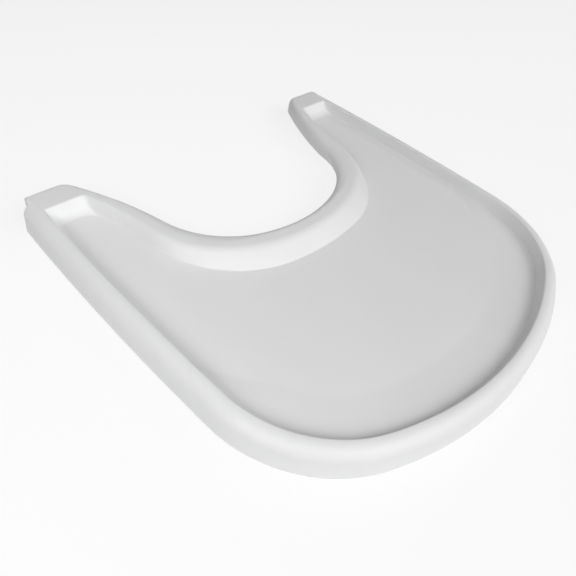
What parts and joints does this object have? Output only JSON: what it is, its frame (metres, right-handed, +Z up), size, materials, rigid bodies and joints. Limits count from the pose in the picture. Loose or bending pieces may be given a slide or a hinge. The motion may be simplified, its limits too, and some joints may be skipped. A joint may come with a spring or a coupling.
{
  "type": "high chair tray",
  "caption": "Moulded plastic high chair tray with a rounded front, raised rim, body bay between tapering arms, and a sprung rail latch worked by a pull underneath.",
  "frame": {"origin": "centre of the footprint, on the plane of the skirt's lower edge", "axes": "+Z up, +Y along the arms towards the child, -Y towards the front edge, +X to the right seen from the front edge"},
  "size_m": [0.4074, 0.4115, 0.028],
  "materials": {
    "white_shell": "satin white moulding with a fine texture",
    "latch_white": "fine spark texture",
    "latch_grey": "satin grey",
    "soft_grip": "matt",
    "soft_pad": "matt",
    "steel": "zinc plated",
    "spring_steel": "drawn wire"
  },
  "bodies": {
    "tray": {"well_floor": "white_shell", "front_rim": "white_shell", "bay_lip": "white_shell", "left_rim": "white_shell", "right_rim": "white_shell", "left_arm_end": "white_shell", "right_arm_end": "white_shell", "latch_base": "latch_white", "base_screws": "steel", "rail_pad": "soft_pad", "left_bolt_spring": "spring_steel", "right_bolt_spring": "spring_steel", "left_spring_rod": "steel", "right_spring_rod": "steel", "left_arm_pad": "soft_pad", "right_arm_pad": "soft_pad", "left_tip_pad": "soft_pad", "right_tip_pad": "soft_pad"},
    "pull": {"release_yoke": "latch_grey", "yoke_grip": "soft_grip"},
    "left_bolt_slide_body": {"left_bolt": "latch_grey", "left_drive_pin": "steel"},
    "right_bolt_slide_body": {"right_bolt": "latch_grey", "right_drive_pin": "steel"}
  },
  "joints": [
    {"name": "pull_slide", "type": "slide", "parent": "tray", "child": "pull", "axis": [0, -1, 0], "range_m": [0, 0.01212], "stiffness_N_per_m": 400, "springref_m": -0.004},
    {"name": "left_bolt_slide", "type": "slide", "parent": "tray", "child": "left_bolt_slide_body", "axis": [-0.5, -0.866, 0], "range_m": [0, 0.0141], "deforming": ["left_bolt_spring"]},
    {"name": "right_bolt_slide", "type": "slide", "parent": "tray", "child": "right_bolt_slide_body", "axis": [0.5, -0.866, 0], "range_m": [0, 0.0141], "deforming": ["right_bolt_spring"]}
  ],
  "couplings": [
    {"joint": "left_bolt_slide", "follows": "pull_slide", "ratio": 1.1547},
    {"joint": "right_bolt_slide", "follows": "pull_slide", "ratio": 1.1547}
  ]
}
